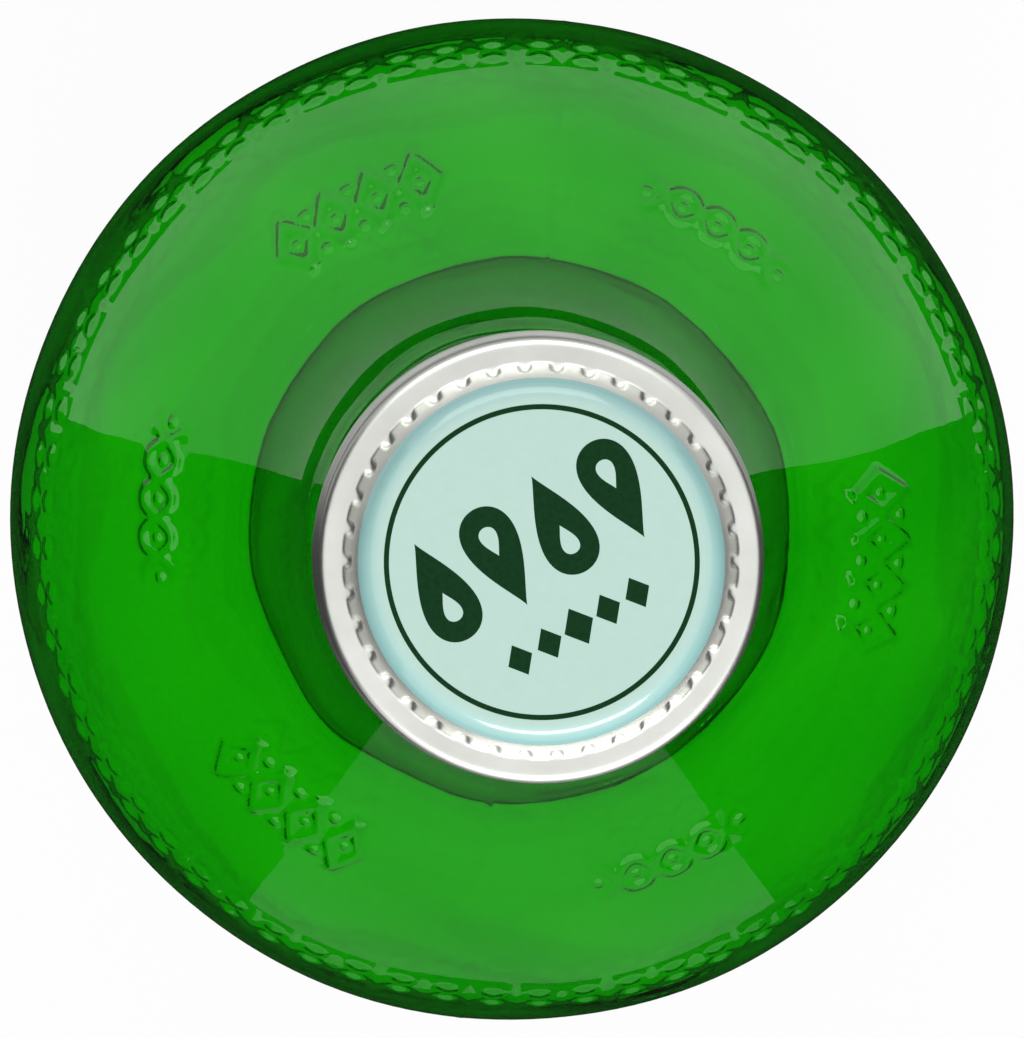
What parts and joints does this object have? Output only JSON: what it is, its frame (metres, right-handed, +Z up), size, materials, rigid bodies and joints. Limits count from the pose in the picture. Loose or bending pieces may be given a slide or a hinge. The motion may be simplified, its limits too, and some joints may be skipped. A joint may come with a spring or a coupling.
{
  "type": "sparkling water bottle",
  "caption": "Round green glass bottle of sparkling water, shut with a knurled roll-on aluminium screw cap that has a tamper band.",
  "frame": {"origin": "on the table, under the middle of the base", "axes": "+Z up along the bottle's axis of symmetry, towards the cap"},
  "size_m": [0.072, 0.072, 0.236],
  "materials": {
    "green_glass": "clear emerald green bottle glass, fire-polished, with raised relief round the shoulder",
    "water": "clear colourless water",
    "cap_aluminium": "satin drawn aluminium, pale mint lacquer with a dark green print on the top panel"
  },
  "bodies": {
    "root": {"bottle_glass": "green_glass", "water": "water", "screw_cap": "cap_aluminium"}
  },
  "joints": []
}
